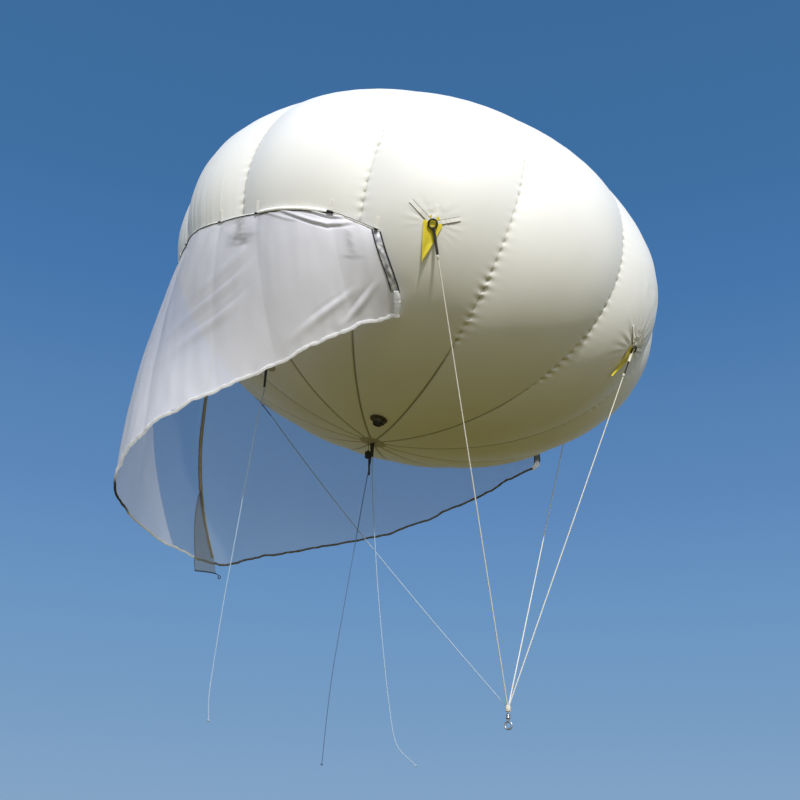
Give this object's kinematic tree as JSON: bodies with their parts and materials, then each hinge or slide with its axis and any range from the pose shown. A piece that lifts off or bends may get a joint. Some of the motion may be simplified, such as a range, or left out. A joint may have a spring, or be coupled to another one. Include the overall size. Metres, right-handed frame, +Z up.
{
  "type": "surveillance balloon",
  "caption": "Tethered oblate balloon with a sewn envelope, a cloth wind skirt round its lee side, load patches, a gathered bridle with a swivel, and a filler valve.",
  "frame": {"origin": "centre of the envelope, where its lift acts", "axes": "+Z up, +X into the wind, so the skirt trails to -X; the envelope's own axis leans 14.5 degrees from +Z towards +X"},
  "size_m": [2.9897, 3.012, 3.855],
  "materials": {
    "envelope_fabric": "coated ripstop nylon, satin cream",
    "skirt_cloth": "sheer white spinnaker nylon",
    "edging": "white woven edge tape",
    "dark_webbing": "dark woven webbing",
    "white_tape": "white bonded webbing",
    "pennant_cloth": "yellow signal cloth",
    "black_plastic": "moulded black nylon",
    "patch_fabric": "bonded reinforcement fabric",
    "white_rope": "braided white cord",
    "steel": "stainless, tumbled"
  },
  "bodies": {
    "balloon": {"envelope": "envelope_fabric", "crown_disc": "patch_fabric", "nadir_disc": "patch_fabric", "nadir_strap": "dark_webbing", "valve_flange": "black_plastic", "load_patch_bow": "white_tape", "load_patch_right": "white_tape", "load_patch_left": "white_tape", "pennant_bow": "pennant_cloth", "pennant_right": "pennant_cloth", "pennant_left": "pennant_cloth", "load_ring_bow": "dark_webbing", "load_ring_right": "dark_webbing", "load_ring_left": "dark_webbing", "load_strap_bow": "dark_webbing", "load_strap_right": "dark_webbing", "load_strap_left": "dark_webbing", "bridle_leg_bow": "white_rope", "bridle_leg_right": "white_rope", "bridle_leg_left": "white_rope", "bridle_leg_keel": "white_rope", "lower_patch_keel": "patch_fabric", "lower_patch_quarter_right": "patch_fabric", "lower_patch_quarter_left": "patch_fabric", "lower_strap_keel": "dark_webbing", "lower_strap_quarter_right": "dark_webbing", "lower_strap_quarter_left": "dark_webbing", "gather_knot": "white_rope", "swivel_barrel": "steel", "skirt_right": "skirt_cloth", "skirt_left": "skirt_cloth", "skirt_hem_right": "edging", "skirt_hem_left": "edging", "skirt_edge_right": "edging", "skirt_edge_left": "edging", "skirt_head_right": "edging", "skirt_head_left": "edging", "keel_band": "edging", "keel_pocket": "skirt_cloth", "keel_loop": "dark_webbing", "hand_line_quarter": "white_rope", "hand_line_nadir_lee": "white_rope", "hand_line_nadir_wind": "white_rope"},
    "cap": {"valve_cap": "black_plastic"},
    "plug": {"plug_leash": "dark_webbing", "nadir_plug": "black_plastic"},
    "eye": {"swivel_eye": "steel"}
  },
  "joints": [
    {"name": "valve_cap_hinge", "type": "hinge", "parent": "balloon", "child": "cap", "pos_m": [-0.0461, -0.30126, -1.02512], "axis": [0.5188, -0.8541, 0.0368], "range_deg": [0, 150]},
    {"name": "plug_swing", "type": "hinge", "parent": "balloon", "child": "plug", "pos_m": [-0.26306, -0.032, -0.9838], "axis": [-1, 0, 0], "range_deg": [-2, 60]},
    {"name": "swivel_spin", "type": "hinge", "parent": "balloon", "child": "eye", "pos_m": [0.55, 0, -2.5953], "axis": [0, 0, 1], "continuous": true}
  ]
}
